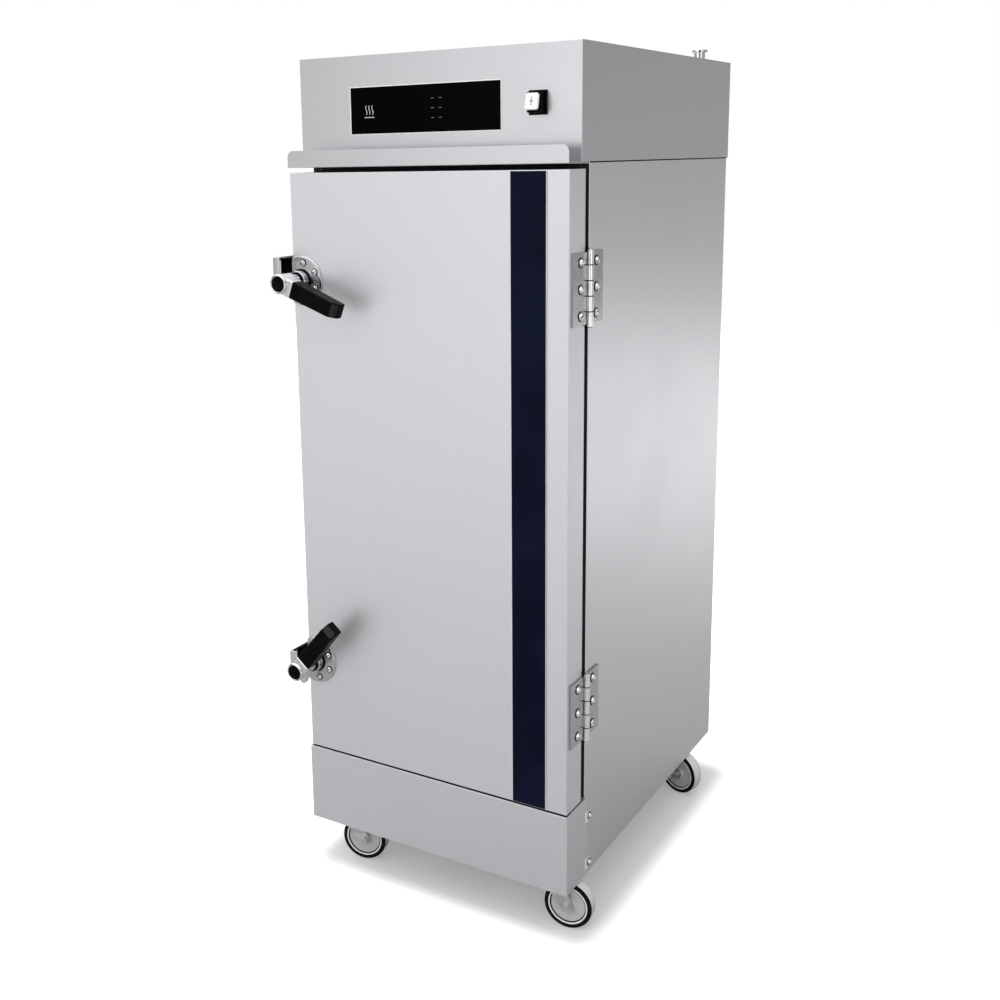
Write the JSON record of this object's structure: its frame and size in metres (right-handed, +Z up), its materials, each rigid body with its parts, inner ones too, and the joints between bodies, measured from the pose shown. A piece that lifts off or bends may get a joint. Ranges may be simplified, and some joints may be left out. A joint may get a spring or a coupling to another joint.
{
  "type": "steamer cabinet",
  "caption": "Tall upright steam cabinet on casters with a latched side-hinged door, insulated chamber with tray racks, control header and drain.",
  "frame": {"origin": "on the floor, under the middle of the whole cabinet: half way across its width and half way from the latch caps in front to the drain valve's outlet behind", "axes": "+X to the viewer's right along the front, +Y from the door towards the back, +Z up"},
  "size_m": [0.6619, 0.9488, 1.705],
  "materials": {
    "brushed_steel": "satin stainless sheet with a fine vertical or lengthwise grain",
    "chamber_steel": "plain mill-finish stainless sheet, welded and wiped",
    "polished_steel": "polished cast and turned stainless steel",
    "zinc_steel": "zinc-plated pressed steel",
    "brass": "machined brass, slightly dulled",
    "black_plastic": "moulded black plastic, low sheen",
    "white_plastic": "moulded white plastic, smooth",
    "black_glass": "black-backed flat glass, high gloss",
    "seal_rubber": "black silicone seal",
    "navy_film": "navy vinyl strip with a thin pale border",
    "foam": "rigid cream foam insulation",
    "wheel_rubber": "dark tyre on a grey plastic rim"
  },
  "bodies": {
    "root": {"side_panel_left": "brushed_steel", "side_panel_right": "brushed_steel", "back_panel": "brushed_steel", "header_shell": "brushed_steel", "header_fascia": "brushed_steel", "header_rear_cover": "brushed_steel", "header_floor": "zinc_steel", "visor": "brushed_steel", "base_frame": "zinc_steel", "kick_panel": "brushed_steel", "front_frame": "chamber_steel", "inner_liner": "chamber_steel", "insulation": "foam", "rack_left": "chamber_steel", "rack_right": "chamber_steel", "baffle_plate": "chamber_steel", "heater_left": "polished_steel", "heater_right": "polished_steel", "vent_pipe": "polished_steel", "water_inlet": "brass", "drain_valve_body": "brass", "cord_gland": "black_plastic", "control_glass": "black_glass", "control_box": "black_plastic", "switch_housing": "black_plastic", "contactor": "black_plastic", "keeper_upper": "polished_steel", "hinge_body_leaf_upper": "polished_steel", "hinge_pin_upper": "polished_steel", "keeper_lower": "polished_steel", "hinge_body_leaf_lower": "polished_steel", "hinge_pin_lower": "polished_steel", "caster_plate_front_left": "zinc_steel", "caster_plate_front_right": "zinc_steel", "caster_plate_rear_left": "zinc_steel", "caster_plate_rear_right": "zinc_steel"},
    "door": {"door_skin": "brushed_steel", "door_inner_panel": "chamber_steel", "door_foam": "foam", "door_gasket": "seal_rubber", "door_strip": "navy_film", "hinge_door_leaf_upper": "polished_steel", "latch_base_upper": "polished_steel", "hinge_door_leaf_lower": "polished_steel", "latch_base_lower": "polished_steel"},
    "switch": {"switch_rocker": "white_plastic"},
    "drain_lever": {"drain_handle": "zinc_steel"},
    "latch_upper": {"latch_lever_upper": "polished_steel", "latch_grip_upper": "black_plastic"},
    "latch_lower": {"latch_lever_lower": "polished_steel", "latch_grip_lower": "black_plastic"},
    "swivel_front_left": {"caster_fork_front_left": "zinc_steel"},
    "wheel_front_left": {"caster_wheel_front_left": "wheel_rubber"},
    "swivel_front_right": {"caster_fork_front_right": "zinc_steel"},
    "wheel_front_right": {"caster_wheel_front_right": "wheel_rubber"},
    "swivel_rear_left": {"caster_fork_rear_left": "zinc_steel"},
    "wheel_rear_left": {"caster_wheel_rear_left": "wheel_rubber"},
    "swivel_rear_right": {"caster_fork_rear_right": "zinc_steel"},
    "wheel_rear_right": {"caster_wheel_rear_right": "wheel_rubber"}
  },
  "joints": [
    {"name": "door_hinge", "type": "hinge", "parent": "root", "child": "door", "pos_m": [0.3065, -0.32145, 0.86], "axis": [0, 0, 1], "range_deg": [0, 150]},
    {"name": "latch_turn_upper", "type": "hinge", "parent": "door", "child": "latch_upper", "pos_m": [-0.2755, -0.39435, 1.2575], "axis": [0, -1, 0], "range_deg": [-45, 71]},
    {"name": "latch_turn_lower", "type": "hinge", "parent": "door", "child": "latch_lower", "pos_m": [-0.2755, -0.39435, 0.464], "axis": [0, -1, 0], "range_deg": [-81, 0]},
    {"name": "switch_rock", "type": "hinge", "parent": "root", "child": "switch", "pos_m": [0.2165, -0.36495, 1.579], "axis": [1, 0, 0], "range_deg": [0, 24]},
    {"name": "drain_turn", "type": "hinge", "parent": "root", "child": "drain_lever", "pos_m": [0, 0.44235, 0.258], "axis": [0, 0, 1], "range_deg": [0, 90]},
    {"name": "swivel_turn_front_left", "type": "hinge", "parent": "root", "child": "swivel_front_left", "pos_m": [-0.2435, -0.33945, 0.12], "axis": [0, 0, 1], "continuous": true},
    {"name": "wheel_roll_front_left", "type": "hinge", "parent": "swivel_front_left", "child": "wheel_front_left", "pos_m": [-0.20682, -0.33165, 0.049], "axis": [-0.2079, 0.9781, 0], "continuous": true},
    {"name": "swivel_turn_front_right", "type": "hinge", "parent": "root", "child": "swivel_front_right", "pos_m": [0.2435, -0.33945, 0.12], "axis": [0, 0, 1], "continuous": true},
    {"name": "wheel_roll_front_right", "type": "hinge", "parent": "swivel_front_right", "child": "wheel_front_right", "pos_m": [0.28072, -0.33488, 0.049], "axis": [-0.1219, 0.9925, 0], "continuous": true},
    {"name": "swivel_turn_rear_left", "type": "hinge", "parent": "root", "child": "swivel_rear_left", "pos_m": [-0.2435, 0.29065, 0.12], "axis": [0, 0, 1], "continuous": true},
    {"name": "wheel_roll_rear_left", "type": "hinge", "parent": "swivel_rear_left", "child": "wheel_rear_left", "pos_m": [-0.28064, 0.29587, 0.049], "axis": [-0.1392, -0.9903, 0], "continuous": true},
    {"name": "swivel_turn_rear_right", "type": "hinge", "parent": "root", "child": "swivel_rear_right", "pos_m": [0.2435, 0.29065, 0.12], "axis": [0, 0, 1], "continuous": true},
    {"name": "wheel_roll_rear_right", "type": "hinge", "parent": "swivel_rear_right", "child": "wheel_rear_right", "pos_m": [0.27955, 0.28031, 0.049], "axis": [0.2756, 0.9613, 0], "continuous": true}
  ]
}
